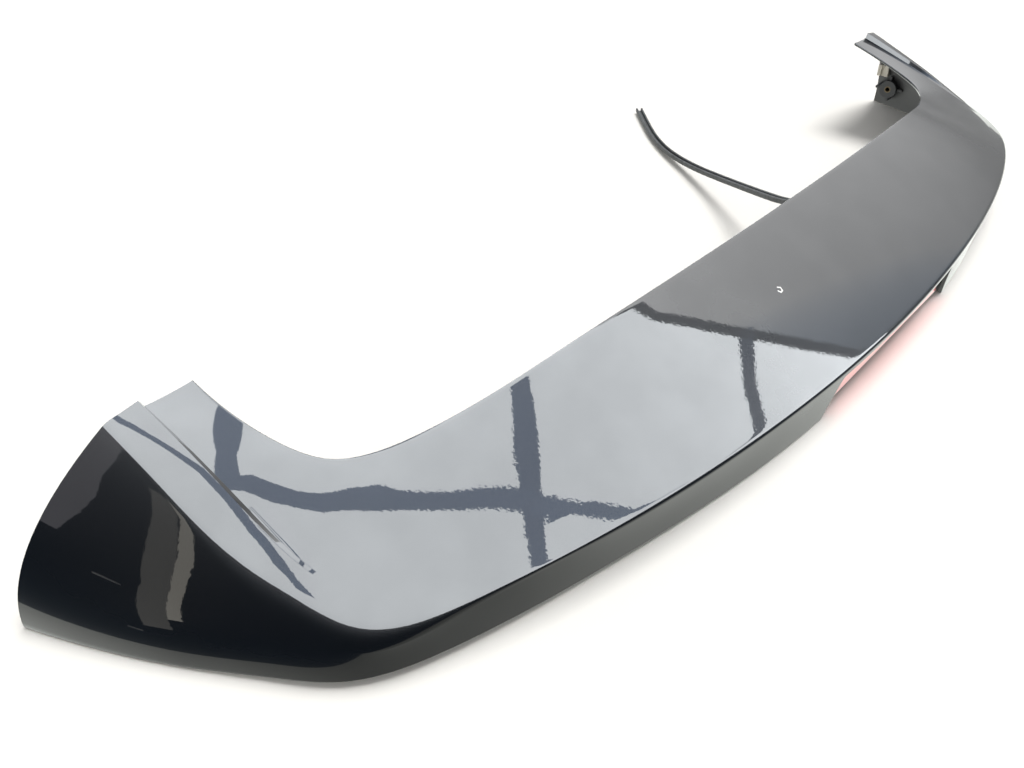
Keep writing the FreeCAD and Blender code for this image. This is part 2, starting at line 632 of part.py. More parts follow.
# Rubber strip: stuck under the leading edge on the left half, loose from there on.
strip_sections = [Section(name, -1.0) for name in SPAN] + [Section("quarter", 1.0)]
strip_whole = feature("strip_whole", skinned(strip_sections, Section.strip_bands))
strip_keep = bound("Part::Box", "strip_keep", Length="Sizes.tip_lead_x", Width="2 * Sizes.tool_reach",
                   Height="2 * Sizes.tool_reach", x="Sizes.strip_end_x - Sizes.tip_lead_x",
                   y="-Sizes.tool_reach")
leading_edge_seal = boolean("Common", "leading_edge_seal", strip_whole, strip_keep)

# Route of the loose end: out under the leading edge, down to the floor and along it.
STRIP_ROUTE = [
    (-12.0, -41.3, 88.8), (14.0, -40.5, 87.8), (39.0, -30.0, 84.8), (59.0, -10.0, 77.0), (77.0, 16.0, 65.0),
    (111.6, 57.0, 50.0), (160.7, 119.2, 30.0), (204.3, 184.8, 14.0), (239.8, 241.8, 6.5), (274.0, 286.8, 4.9),
    (316.6, 330.3, 4.9), (351.5, 363.8, 4.9),
]

# Share of the shorter run that an arc of the route takes, and the sides of the route's plain section.
ARC_SHARE = 0.45
STRIP_SIDES = 8


def route_wire(points):
    """Straight runs joined by tangent arcs, each as large as its two runs allow."""
    points = [Vector(*point) for point in points]
    edges = []
    start = points[0]
    for before, corner, after in zip(points, points[1:], points[2:]):
        come = (corner - before).normalize()
        go = (after - corner).normalize()
        turn = come.getAngle(go)
        setback = ARC_SHARE * min(before.distanceToPoint(corner), corner.distanceToPoint(after))
        radius = setback / math.tan(0.5 * turn)
        first = corner - come * setback
        last = corner + go * setback
        inward = (go - come).normalize()
        middle = corner + inward * (radius / math.cos(0.5 * turn) - radius)
        edges.append(Part.LineSegment(start, first).toShape())
        edges.append(Part.Arc(first, middle, last).toShape())
        print("strip radius %.0f mm" % radius)
        start = last
    edges.append(Part.LineSegment(start, points[-1]).toShape())
    return Part.Wire(edges)


def tube(points, width):
    """Plain eight-sided bar along the route, as wide as the strip across its flats."""
    path = route_wire(points)
    start = Vector(*points[0])
    heading = (Vector(*points[1]) - start).normalize()
    across = heading.cross(Vector(0.0, 0.0, 1.0)).normalize()
    up = across.cross(heading)
    reach = 0.5 * width / math.cos(math.pi / STRIP_SIDES)
    corners = []
    for index in range(STRIP_SIDES + 1):
        angle = math.pi * (2 * index + 1) / STRIP_SIDES
        corners.append(start + across * (reach * math.cos(angle)) + up * (reach * math.sin(angle)))
    section = Part.makePolygon(corners)
    solid = path.makePipeShell([section], True, False)
    print("strip length %.1f mm, volume over section times length %.4f"
          % (path.Length, solid.Volume / (path.Length * Part.Face(section).Area)))
    return solid


seal_free_end = feature("seal_free_end", tube(STRIP_ROUTE, size("strip_width")))

PIECES = (outer_shell, lower_panel, mounting_studs, stud_seals, lamp_lens, lamp_gasket, lamp_housing, lamp_board,
          lamp_leds, lamp_screws, lamp_socket, left_leg_boss, right_leg_boss, left_leg_insert,
          right_leg_insert, left_side_clip, right_side_clip, leading_edge_seal, seal_free_end)
doc.recompute()
for item in doc.Objects:
    if "Invalid" in item.State or "Error" in item.State:
        raise SystemExit("failed: %s %s" % (item.Name, item.State))
for piece in PIECES:
    piece.Label = piece.Name
    if piece.Shape.isNull() or not piece.Shape.isValid() or not piece.Shape.Solids:
        raise SystemExit("bad shape: " + piece.Label)
os.makedirs("parts", exist_ok=True)
for piece in PIECES:
    piece.Shape.exportStep(os.path.join("parts", piece.Label + ".step"))
    print("%-20s %d solids, %.0f mm3" % (piece.Label, len(piece.Shape.Solids), piece.Shape.Volume))
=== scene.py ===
import math

import bpy
import numpy as np
from mathutils import Matrix, Vector


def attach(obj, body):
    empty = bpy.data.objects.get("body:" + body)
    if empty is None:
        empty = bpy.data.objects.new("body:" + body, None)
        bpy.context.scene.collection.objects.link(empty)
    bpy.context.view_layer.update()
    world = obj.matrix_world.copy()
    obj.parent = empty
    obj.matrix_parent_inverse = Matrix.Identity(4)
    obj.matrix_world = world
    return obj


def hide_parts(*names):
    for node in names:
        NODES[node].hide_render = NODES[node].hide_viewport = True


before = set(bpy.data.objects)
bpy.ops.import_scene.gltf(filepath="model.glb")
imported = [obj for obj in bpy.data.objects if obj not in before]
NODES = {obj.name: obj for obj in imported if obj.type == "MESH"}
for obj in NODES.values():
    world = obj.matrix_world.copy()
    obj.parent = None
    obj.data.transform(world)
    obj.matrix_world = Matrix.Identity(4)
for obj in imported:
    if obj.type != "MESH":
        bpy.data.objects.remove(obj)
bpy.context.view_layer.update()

# Roof-edge car spoiler: glossy black skin, rubber seal with a loose end, brake lamp, on a white floor.
MM = 0.001

# Stations of the skin in millimetres and degrees, from a leg's tip to the middle of the span. They are those
# of the solids, with heights and crowns between leg and shoulder faired by two millimetres at most:
# leading edge x, y, z, heading, chord, crest height, hem reach, hem height, crown, crease, step, rounding.
STATIONS = (
    (463.8, 148.0, 113.8, 0.0, 57.2, 116.0, 140.2, 0.1, -3.0, 33.7, 6.2, 3.0),
    (459.5, 88.0, 93.5, 0.0, 58.7, 91.4, 119.4, 0.1, 0.3, 34.7, 4.0, 4.0),
    (444.0, 45.5, 80.8, 4.0, 73.0, 70.0, 109.0, 1.0, 1.9, 48.7, 2.4, 6.0),
    (425.0, 28.4, 77.9, 17.4, 88.0, 54.0, 107.4, 3.0, 2.5, 68.0, 0.9, 9.0),
    (399.4, 17.0, 79.6, 30.0, 112.5, 38.2, 116.0, 5.0, 4.4, 90.0, 0.0, 10.0),
    (357.0, 3.8, 86.5, 40.6, 115.8, 39.0, 111.9, 5.0, 2.3, 94.0, 0.0, 5.0),
    (290.0, -11.0, 99.5, 56.0, 108.7, 43.0, 99.7, 2.5, 3.5, 86.0, 0.0, 2.5),
    (150.0, -22.4, 108.5, 75.0, 111.0, 42.7, 104.5, 0.3, 3.0, 86.0, 0.0, 2.5),
    (0.0, -25.2, 110.0, 90.0, 112.4, 40.0, 105.8, 0.3, 3.0, 86.0, 0.0, 2.5),
)
WALL = 3.0
# The crease's step is narrower than that of the solids.
STEP_WIDTH = 3.0
SKIRT_POLE = 0.54
SKIRT_TUCK = 0.6
EDGE_NOSE = 1.1
LARGEST_DRAW_IN = 0.6
# Front cut of the legs: y at the floor, and y at a height.
TIP_FOOT_Y = 137.2
TIP_TOP_Y = 129.2
TIP_TOP_Z = 110.0
OPENING = {"low_width": 244.0, "high_width": 216.0, "top": 35.0, "front_y": -123.6, "back_y": -151.6}
# Rows along the skin, and steps along each curve of a section and round its edges.
ROWS = 420
OUTER_STEPS = (22, 7, 10, 9, 22)
INNER_STEPS = (10, 4, 5, 10)
NOSE_STEPS = 7
CUT_HALVINGS = 40
SKIN_SHARP_ANGLE = 38.0
STRIP_SHARP_ANGLE = 40.0


def bands_of(station, inset, rounding):
    """Poles of one section's curves, from the leading edge to the hem."""
    lead_z, chord, crest_z, hem, hem_z, crown, crease, step = (station[i] for i in (2, 4, 5, 6, 7, 8, 9, 10))
    fall = (crest_z - lead_z) / chord
    rail_fall = -step / (chord - crease - STEP_WIDTH)

    def top(out):
        share = out / chord
        return lead_z + fall * out + 4.0 * crown * share * (1.0 - share) - inset * math.hypot(1.0, fall)

    def slope(out):
        return fall + 4.0 * crown * (1.0 - 2.0 * out / chord) / chord

    def rail(out):
        return top(out) + rail_fall * (out - chord)

    upper = crease + STEP_WIDTH
    skirt_lean = (hem - chord) / (crest_z - hem_z)
    back = inset * math.hypot(1.0, skirt_lean)
    reach = 1.0 if hem > chord else SKIRT_TUCK
    pole = (chord + reach * (hem - chord) - back, hem_z + SKIRT_POLE * (crest_z - hem_z))
    heading = (pole[0] + back - chord, pole[1] - crest_z)
    last = chord - inset - rounding
    run = slope(last) + rail_fall
    lean = heading[0] / heading[1]
    corner_up = (rail(last) + run * (pole[0] - last - lean * pole[1])) / (1.0 - run * lean)
    corner = (pole[0] + lean * (corner_up - pole[1]), corner_up)
    rail_end = (last, rail(last)) if rounding else corner
    middle = 0.5 * (upper + rail_end[0])
    length = math.hypot(*heading)
    start = tuple(c + rounding * h / length for c, h in zip(corner, heading))
    bands = [
        ((0.0, top(0.0)), (0.5 * crease, top(0.0) + slope(0.0) * 0.5 * crease), (crease, top(crease))),
        ((crease, top(crease)),
         (crease + 0.5 * STEP_WIDTH, top(crease) + slope(crease) * 0.5 * STEP_WIDTH + 0.5 * step),
         (upper, rail(upper))),
        ((upper, rail(upper)),
         (middle, rail(upper) + (slope(upper) + rail_fall) * (middle - upper)),
         rail_end),
    ]
    if rounding:
        bands.append((rail_end, corner, start))
    return bands + [(start, pole, (hem - back, hem_z))]


def along(bands, steps):
    """Points along quadratic curves, without a repeat where they meet."""
    points = []
    for poles, count in zip(bands, steps):
        a, b, c = (np.array(pole) for pole in poles)
        share = np.linspace(0.0, 1.0, count + 1)[:, None]
        curve = (1 - share) ** 2 * a + 2 * share * (1 - share) * b + share ** 2 * c
        points.append(curve if not points else curve[1:])
    return np.concatenate(points)


def nose(first, last, before):
    """Rounded edge from first to last: half an ellipse that stands out from the point before first."""
    outward = (first - before) / np.linalg.norm(first - before)
    middle = 0.5 * (first + last)
    half = first - middle
    angles = np.linspace(0.0, math.pi, NOSE_STEPS + 1)[1:-1, None]
    return middle + half * np.cos(angles) + outward * EDGE_NOSE * np.sin(angles)


def shortened(points, amount):
    """The line with its first and last points drawn in, to leave room for the rounded edges."""
    points = points.copy()
    for end, beside in ((0, 1), (-1, -2)):
        run = points[beside] - points[end]
        points[end] += run * min(LARGEST_DRAW_IN, amount / np.linalg.norm(run))
    return points


def section_loop(station):
    """Closed outline of the wall at one station, as distance out and height."""
    outer = shortened(along(bands_of(station, 0.0, station[11]), OUTER_STEPS), EDGE_NOSE)
    inner = shortened(along(bands_of(station, WALL, 0.0), INNER_STEPS), EDGE_NOSE)[::-1]
    hem = nose(outer[-1], inner[0], outer[-2])
    lead = nose(inner[-1], outer[0], inner[-2])
    return np.concatenate([outer, hem, inner, lead])


def placed(station, loop, side):
    """Turn a section's outline into points in space, in millimetres."""
    heading = math.radians(-station[3])
    x = station[0] + loop[:, 0] * math.cos(heading)
    y = station[1] + loop[:, 0] * math.sin(heading)
    return np.stack([side * x, y, loop[:, 1]], axis=1)


class Spline:
    """Curves with smooth slope and curvature through rows of points at given spots."""

    def __init__(self, spots, rows):
        self.spots = spots
        self.rows = rows
        count = len(spots)
        gap = np.diff(spots)
        rise = np.diff(rows, axis=0) / gap[:, None, None]
        matrix = np.zeros((count, count))
        right = np.zeros_like(rows)
        for i in range(1, count - 1):
            matrix[i, i - 1:i + 2] = (gap[i], 2.0 * (gap[i - 1] + gap[i]), gap[i - 1])
            right[i] = 3.0 * (gap[i] * rise[i - 1] + gap[i - 1] * rise[i])
        # The end slopes are those of a parabola through the three points at each end.
        matrix[0, 0] = matrix[-1, -1] = 1.0
        right[0] = rise[0] + (rise[0] - rise[1]) * gap[0] / (gap[0] + gap[1])
        right[-1] = rise[-1] + (rise[-1] - rise[-2]) * gap[-1] / (gap[-1] + gap[-2])
        self.slopes = np.linalg.solve(matrix, right.reshape(count, -1)).reshape(rows.shape)

    def at(self, where):
        """Points at the spots in where, one row of spots with a spot for each curve."""
        index = np.clip(np.searchsorted(self.spots, where, side="right") - 1, 0, len(self.spots) - 2)
        gap = (self.spots[index + 1] - self.spots[index])[:, None]
        share = (where - self.spots[index])[:, None] / gap
        column = np.arange(self.rows.shape[1])
        start, end = self.rows[index, column], self.rows[index + 1, column]
        leave, arrive = self.slopes[index, column] * gap, self.slopes[index + 1, column] * gap
        return ((1 + 2 * share) * (1 - share) ** 2 * start + share * (1 - share) ** 2 * leave
                + share ** 2 * (3 - 2 * share) * end + share ** 2 * (share - 1) * arrive)


def skin_grid():
    """Rows of closed outlines along the skin, from the left leg's front cut to the right one's."""
    sides = [(station, -1.0) for station in STATIONS] + [(station, 1.0) for station in STATIONS[-2::-1]]
    rows = np.array([placed(station, section_loop(station), side) for station, side in sides])
    crest = np.array([placed(station, np.array([station[4:6]]), side)[0] for station, side in sides])
    spots = np.concatenate([[0.0], np.cumsum(np.linalg.norm(np.diff(crest, axis=0), axis=1))])
    spline = Spline(spots, rows)
    slant = (TIP_FOOT_Y - TIP_TOP_Y) / TIP_TOP_Z

    def cut_spot(inside, outside):
        """Spot where each curve crosses the front cut's plane."""
        for _ in range(CUT_HALVINGS):
            middle = 0.5 * (inside + outside)
            point = spline.at(middle)
            beyond = point[:, 1] + slant * point[:, 2] > TIP_FOOT_Y
            outside = np.where(beyond, middle, outside)
            inside = np.where(beyond, inside, middle)
        return inside

    count = rows.shape[1]
    centre = np.full(count, 0.5 * spots[-1])
    first = cut_spot(centre, np.zeros(count))
    last = cut_spot(centre, np.full(count, spots[-1]))
    return np.array([spline.at(first + (last - first) * k / ROWS) for k in range(ROWS + 1)])


def new_object(name, vertices, faces):
    mesh = bpy.data.meshes.new(name)
    mesh.from_pydata([tuple(v) for v in vertices], [], faces)
    mesh.validate()
    made = bpy.data.objects.new(name, mesh)
    bpy.context.scene.collection.objects.link(made)
    return made


def smooth(made, angle):
    """Smooth shading, with edges sharper than the angle left crisp."""
    made.data.shade_smooth()
    made.data.set_sharp_from_angle(angle=math.radians(angle))


def tube_faces(rows, count):
    """Quads round a tube of rows of count points, and a flat face at each end."""
    faces = []
    for row in range(rows - 1):
        for column in range(count):
            beside = (column + 1) % count
            faces.append((row * count + column, row * count + beside,
                          (row + 1) * count + beside, (row + 1) * count + column))
    faces.append(tuple(range(count - 1, -1, -1)))
    faces.append(tuple(range((rows - 1) * count, rows * count)))
    return faces


def cut_away(made, tool):
    """Take the tool's space out of a piece for good."""
    cutter = made.modifiers.new("cut", "BOOLEAN")
    cutter.operation = "DIFFERENCE"
    cutter.solver = "EXACT"
    cutter.object = tool
    graph = bpy.context.evaluated_depsgraph_get()
    result = bpy.data.meshes.new_from_object(made.evaluated_get(graph))
    made.modifiers.clear()
    old = made.data
    made.data = result
    bpy.data.meshes.remove(old)
    bpy.data.objects.remove(tool)


def opening_tool():
    """Prism through the rear band, where the lamp looks out."""
    slope = 0.5 * (OPENING["low_width"] - OPENING["high_width"]) / OPENING["top"]
    low = -2.0 * WALL
    half_low = 0.5 * OPENING["low_width"] - slope * low
    half_high = 0.5 * OPENING["high_width"]
    outline = ((-half_low, low), (half_low, low), (half_high, OPENING["top"]), (-half_high, OPENING["top"]))
    vertices = []
    for y in (OPENING["front_y"], OPENING["back_y"]):
        vertices += [(x * MM, y * MM, z * MM) for x, z in outline]
    return new_object("opening_tool", vertices, tube_faces(2, len(outline)))


def make_skin(paint, plastic, hem_highlight):
    """Painted wall with plain inner faces, and a light grey on the hem's rounded edge that is a painted
    highlight.
    """
    grid = skin_grid() * MM
    rows, count = grid.shape[:2]
    skin = new_object("painted_skin", grid.reshape(-1, 3), tube_faces(rows, count))
    for material in (paint, plastic, hem_highlight):
        skin.data.materials.append(material)
    first_hem = sum(OUTER_STEPS)
    first_inner = first_hem + NOSE_STEPS
    last_inner = first_inner + sum(INNER_STEPS)
    for index, face in enumerate(skin.data.polygons[:(rows - 1) * count]):
        if first_inner <= index % count < last_inner:
            face.material_index = 1
        # The hem's rounded edge gets a light grey: a painted highlight standing in for the white floor's
        # reflection along the bottom edge.
        elif first_hem <= index % count < first_inner:
            face.material_index = 2
    cut_away(skin, opening_tool())
    smooth(skin, SKIN_SHARP_ANGLE)
    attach(skin, "root")
    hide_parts("outer_shell")


# Route of the seal's loose end, in millimetres, as in the solids.
STRIP_ROUTE = (
    (-12.0, -41.3, 88.8), (14.0, -40.5, 87.8), (39.0, -30.0, 84.8), (59.0, -10.0, 77.0), (77.0, 16.0, 65.0),
    (111.6, 57.0, 50.0), (160.7, 119.2, 30.0), (204.3, 184.8, 14.0), (239.8, 241.8, 6.5), (274.0, 286.8, 4.9),
    (316.6, 330.3, 4.9), (351.5, 363.8, 4.9),
)
STRIP_WIDTH = 9.0
STRIP_HEIGHT = 5.0
STRIP_GROOVE = 4.0
STRIP_FLOOR = 1.6
STRIP_BEVEL = 0.7
ROUTE_RESOLUTION = 14


def route_points():
    """Points along the smooth line of the loose end."""
    curve = bpy.data.curves.new("strip_route", "CURVE")
    curve.dimensions = "3D"
    curve.resolution_u = ROUTE_RESOLUTION
    line = curve.splines.new("NURBS")
    line.points.add(len(STRIP_ROUTE) - 1)
    for point, place in zip(line.points, STRIP_ROUTE):
        point.co = (*(c * MM for c in place), 1.0)
    line.order_u = 3
    line.use_endpoint_u = True
    holder = bpy.data.objects.new("strip_route", curve)
    bpy.context.scene.collection.objects.link(holder)
    mesh = bpy.data.meshes.new_from_object(holder)
    points = [vertex.co.copy() for vertex in mesh.vertices]
    bpy.data.objects.remove(holder)
    bpy.data.curves.remove(curve)
    bpy.data.meshes.remove(mesh)
    return points


def strip_profile():
    """Channel with bevelled edges and a groove along its upper side: across and up, in millimetres."""
    half = 0.5 * STRIP_WIDTH
    groove = 0.5 * STRIP_GROOVE
    low = -0.5 * STRIP_HEIGHT
    high = 0.5 * STRIP_HEIGHT
    bevel = STRIP_BEVEL
    return ((-half + bevel, low), (half - bevel, low), (half, low + bevel), (half, high - bevel),
            (half - bevel, high), (groove + bevel, high), (groove, high - bevel),
            (groove, low + STRIP_FLOOR), (-groove, low + STRIP_FLOOR), (-groove, high - bevel),
            (-groove - bevel, high), (-half + bevel, high), (-half, high - bevel), (-half, low + bevel))


def make_strip(material):
    points = route_points()
    profile = strip_profile()
    vertices = []
    for index, point in enumerate(points):
        ahead = points[min(index + 1, len(points) - 1)] - points[max(index - 1, 0)]
        across = ahead.cross(Vector((0.0, 0.0, 1.0))).normalized()
        up = across.cross(ahead).normalized()
        vertices += [point + across * a * MM + up * b * MM for a, b in profile]
    strip = new_object("loose_strip", vertices, tube_faces(len(points), len(profile)))
    strip.data.materials.append(material)
    smooth(strip, STRIP_SHARP_ANGLE)
    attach(strip, "root")
    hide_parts("seal_free_end")


def node_material(name):
    """Empty material with its shader, and the tree to add to."""
    material = bpy.data.materials.new(name)
    material.use_nodes = True
    tree = material.node_tree
    shader = tree.nodes["Principled BSDF"]
    return material, tree, shader


def set_values(shader, **values):
    for key, value in values.items():
        shader.inputs[key.replace("_", " ")].default_value = value


def noise(tree, scale, detail):
    """Noise in the object's own coordinates, in cells a metre."""
    place = tree.nodes.new("ShaderNodeTexCoord")
    texture = tree.nodes.new("ShaderNodeTexNoise")
    texture.inputs["Scale"].default_value = scale
    texture.inputs["Detail"].default_value = detail
    tree.links.new(place.outputs["Object"], texture.inputs["Vector"])
    return texture.outputs["Fac"]


def ramp(tree, source, low, high, start, end):
    """Colour that goes from start to end as the source goes from low to high."""
    made = tree.nodes.new("ShaderNodeValToRGB")
    made.color_ramp.elements[0].position = low
    made.color_ramp.elements[1].position = high
    for element, value in zip(made.color_ramp.elements, (start, end)):
        element.color = (*value, 1.0)
    tree.links.new(source, made.inputs["Fac"])
    return made.outputs["Color"]


def bump(tree, source, distance):
    made = tree.nodes.new("ShaderNodeBump")
    made.inputs["Distance"].default_value = distance
    tree.links.new(source, made.inputs["Height"])
    return made.outputs["Normal"]


def feed(tree, socket, value):
    """Link a socket to another one, or set it to a plain value."""
    if isinstance(value, bpy.types.NodeSocket):
        tree.links.new(value, socket)
    else:
        socket.default_value = value


def stretch(tree, source, low, high, start, end):
    """Value that goes from start to end as the source goes from low to high."""
    made = tree.nodes.new("ShaderNodeMapRange")
    for key, value in (("From Min", low), ("From Max", high), ("To Min", start), ("To Max", end)):
        feed(tree, made.inputs[key], value)
    tree.links.new(source, made.inputs["Value"])
    return made.outputs["Result"]


def combine(tree, operation, first, second):
    """One sum, product or the like of two values."""
    made = tree.nodes.new("ShaderNodeMath")
    made.operation = operation
    for slot, value in enumerate((first, second)):
        feed(tree, made.inputs[slot], value)
    return made.outputs["Value"]


def place_parts(tree, kind):
    """X, Y and Z of the place in coordinates of a kind."""
    place = tree.nodes.new("ShaderNodeTexCoord")
    parts = tree.nodes.new("ShaderNodeSeparateXYZ")
    tree.links.new(place.outputs[kind], parts.inputs["Vector"])
    return parts.outputs


# Marks in the paint, in metres: a curled chip on the span, scratches low on the left leg as start and end,
# and dust, with its cells a metre, the size of a dot in its cell and the share of cells that hold one.
CHIP_PLACE = Vector((-0.104, -0.071, 0.0833))
CHIP_ACROSS = Vector((0.67, -0.637, -0.365))
CHIP_AWAY = Vector((0.74, 0.575, 0.358))
CHIP_RADIUS = 0.0024
CHIP_TURNS = (140.0, 70.0, 0.0, -70.0, -130.0)
SCRATCHES = (
    ((-0.565, 0.093, 0.050), (-0.559, 0.076, 0.047)),
    ((-0.565, 0.068, 0.025), (-0.561, 0.060, 0.024)),
)
CHIP_HALF = 0.00045
SCRATCH_HALF = 0.0004
MARK_SOFTNESS = 1.4
DUST_CELLS = 110.0
DUST_SIZE = 0.035
DUST_SHARE = 0.12
DUST_SOFTNESS = 1.5
FAINT_SHARE = 0.05
# Smears in the coat and orange peel, in cells a metre. The peel's depth is in metres, and it fades along y
# towards the legs' tips.
SMEAR_CELLS = 30.0
SMEARED_COAT = 0.92
PEEL_CELLS = 450.0
PEEL_DEPTH = 0.000009
PEEL_FADE = (0.0, 0.08)
LEG_PEEL_SHARE = 0.25
CLEAN_COLOUR = (0.0006, 0.0008, 0.0013)
MARK_COLOUR = (0.75, 0.75, 0.72)


def streak(tree, start, end, half):
    """One inside a straight mark between two points, and nought outside it."""
    start, run = Vector(start), Vector(end) - Vector(start)

    def vector_math(operation, first, second=None, scale=None):
        made = tree.nodes.new("ShaderNodeVectorMath")
        made.operation = operation
        for slot, value in ((0, first), (1, second), ("Scale", scale)):
            if value is not None:
                feed(tree, made.inputs[slot], value)
        return made.outputs["Value" if operation in ("DOT_PRODUCT", "LENGTH") else "Vector"]

    place = tree.nodes.new("ShaderNodeTexCoord")
    offset = vector_math("SUBTRACT", place.outputs["Object"], start)
    share = stretch(tree, vector_math("DOT_PRODUCT", offset, run), 0.0, run.length_squared, 0.0, 1.0)
    aside = vector_math("SUBTRACT", offset, vector_math("SCALE", run, scale=share))
    return stretch(tree, vector_math("LENGTH", aside), half, MARK_SOFTNESS * half, 1.0, 0.0)


def specks(tree, scale, size, share):
    """Scattered dust: a dot in some of the cells of a scale, in cells a metre."""
    place = tree.nodes.new("ShaderNodeTexCoord")
    cells = tree.nodes.new("ShaderNodeTexVoronoi")
    cells.inputs["Scale"].default_value = scale
    tree.links.new(place.outputs["Object"], cells.inputs["Vector"])
    dot = stretch(tree, cells.outputs["Distance"], size, DUST_SOFTNESS * size, 1.0, 0.0)
    kept = stretch(tree, cells.outputs["Color"], 1.0 - share, 1.02 - share, 0.0, 1.0)
    return combine(tree, "MULTIPLY", dot, kept)


def paint_marks(tree):
    """One on the chip, little on the scratches and dust, and nought on clean paint."""
    turns = [math.radians(turn) for turn in CHIP_TURNS]
    ring = [CHIP_PLACE + CHIP_RADIUS * (CHIP_ACROSS * math.cos(t) + CHIP_AWAY * math.sin(t)) for t in turns]
    parts = [streak(tree, start, end, CHIP_HALF) for start, end in zip(ring, ring[1:])]
    faint = [streak(tree, start, end, SCRATCH_HALF) for start, end in SCRATCHES]
    faint.append(specks(tree, DUST_CELLS, DUST_SIZE, DUST_SHARE))
    parts += [combine(tree, "MULTIPLY", part, FAINT_SHARE) for part in faint]
    total = parts[0]
    for part in parts[1:]:
        total = combine(tree, "MAXIMUM", total, part)
    return total


def paint_material():
    material, tree, shader = node_material("black_paint")
    set_values(shader, Roughness=0.35, Coat_Roughness=0.02, Coat_IOR=1.5, Specular_IOR_Level=0.12)
    # Wiped-over smears dull the coat a little.
    coat = stretch(tree, noise(tree, SMEAR_CELLS, 4.0), 0.35, 0.65, SMEARED_COAT, 1.0)
    tree.links.new(coat, shader.inputs["Coat Weight"])
    tree.links.new(ramp(tree, paint_marks(tree), 0.0, 1.0, CLEAN_COLOUR, MARK_COLOUR),
                   shader.inputs["Base Color"])
    # The orange peel is fainter on the legs than on the span.
    share = stretch(tree, place_parts(tree, "Object")["Y"], *PEEL_FADE, 1.0, LEG_PEEL_SHARE)
    peel = bump(tree, combine(tree, "MULTIPLY", noise(tree, PEEL_CELLS, 1.0), share), PEEL_DEPTH)
    tree.links.new(peel, shader.inputs["Normal"])
    tree.links.new(peel, shader.inputs["Coat Normal"])
    return material


def plain_material(name, colour, roughness, metallic=0.0, grain=900.0, depth=0.00004):
    """Moulded or machined surface with slight colour change and a fine grain."""
    material, tree, shader = node_material(name)
    set_values(shader, Roughness=roughness, Metallic=metallic)
    darker = tuple(0.75 * c for c in colour)
    tree.links.new(ramp(tree, noise(tree, 60.0, 3.0), 0.3, 0.7, darker, colour), shader.inputs["Base Color"])
    tree.links.new(bump(tree, noise(tree, grain, 2.0), depth), shader.inputs["Normal"])
    return material


def rubber_material():
    material, tree, shader = node_material("dusty_rubber")
    set_values(shader, Roughness=0.7)
    dusty = ramp(tree, noise(tree, 180.0, 4.0), 0.3, 0.75, (0.012, 0.012, 0.012), (0.06, 0.06, 0.058))
    tree.links.new(dusty, shader.inputs["Base Color"])
    tree.links.new(bump(tree, noise(tree, 1500.0, 3.0), 0.00008), shader.inputs["Normal"])
    return material


def lens_painted_glow_material():
    material, _, shader = node_material("red_plastic_painted_glow")
    # The pale pink emission is painted light: a glow standing in for daylight that shines through the lens
    # from inside, while the lamp itself is not lit.
    set_values(shader, Base_Color=(0.5, 0.03, 0.03, 1.0), Roughness=0.12, Coat_Weight=1.0,
               Emission_Color=(1.0, 0.5, 0.46, 1.0), Emission_Strength=0.4)
    return material


def dress_nodes():
    """Finish of the pieces that keep their solids, with the materials that the scene's own pieces share."""
    black = plain_material("moulded_plastic", (0.02, 0.02, 0.021), 0.55)
    steel = plain_material("zinc_steel", (0.6, 0.6, 0.58), 0.35, 1.0, 400.0)
    brass = plain_material("dull_brass", (0.13, 0.1, 0.06), 0.5, 1.0, 400.0)
    nylon = plain_material("nylon", (0.75, 0.71, 0.6), 0.5)
    board = plain_material("board", (0.02, 0.13, 0.05), 0.4)
    light = plain_material("light_package", (0.8, 0.76, 0.62), 0.2)
    foam = plain_material("foam", (0.03, 0.03, 0.03), 0.9, 0.0, 700.0, 0.0002)
    rubber = rubber_material()
    finish = {
        "lower_panel": black, "lamp_housing": black, "lamp_socket": black, "left_leg_boss": black,
        "right_leg_boss": black, "mounting_studs": steel, "lamp_screws": steel, "left_leg_insert": brass,
        "right_leg_insert": brass, "left_side_clip": nylon, "right_side_clip": nylon, "lamp_board": board,
        "lamp_leds": light, "stud_seals": foam, "lamp_gasket": rubber, "leading_edge_seal": rubber,
        "lamp_lens": lens_painted_glow_material(),
    }
    for node, material in finish.items():
        slots = NODES[node].data.materials
        slots.clear()
        slots.append(material)
    # Light grey for the hem's rounded edge: a painted highlight along the bottom edge.
    hem_highlight = plain_material("hem_painted_highlight", (0.3, 0.29, 0.27), 0.7)
    return rubber, black, hem_highlight


# Camera as solved from the photograph, in millimetres and degrees.
EYE = (-655.8, -302.0, 411.8)
YAW = 47.839
PITCH = 35.952
ROLL = -1.294
FOCAL_PIXELS = 880.04
IMAGE_WIDTH = 1024.0
SENSOR_WIDTH = 36.0
CLIP_START = 0.01


def make_camera():
    yaw, pitch, roll = (math.radians(a) for a in (YAW, PITCH, ROLL))
    look = Vector((math.sin(yaw) * math.cos(pitch), math.cos(yaw) * math.cos(pitch), -math.sin(pitch)))
    right = Vector((math.cos(yaw), -math.sin(yaw), 0.0))
    up = right.cross(look)
    level, tilt = math.cos(roll), math.sin(roll)
    right, up = right * level + up * tilt, up * level - right * tilt
    data = bpy.data.cameras.new("camera")
    data.sensor_fit = "HORIZONTAL"
    data.sensor_width = SENSOR_WIDTH
    data.lens = FOCAL_PIXELS / IMAGE_WIDTH * SENSOR_WIDTH
    data.clip_start = CLIP_START
    camera = bpy.data.objects.new("camera", data)
    turn = Matrix((right, up, -look)).transposed().to_4x4()
    camera.matrix_world = Matrix.Translation(Vector(EYE) * MM) @ turn
    bpy.context.scene.collection.objects.link(camera)
    bpy.context.scene.camera = camera


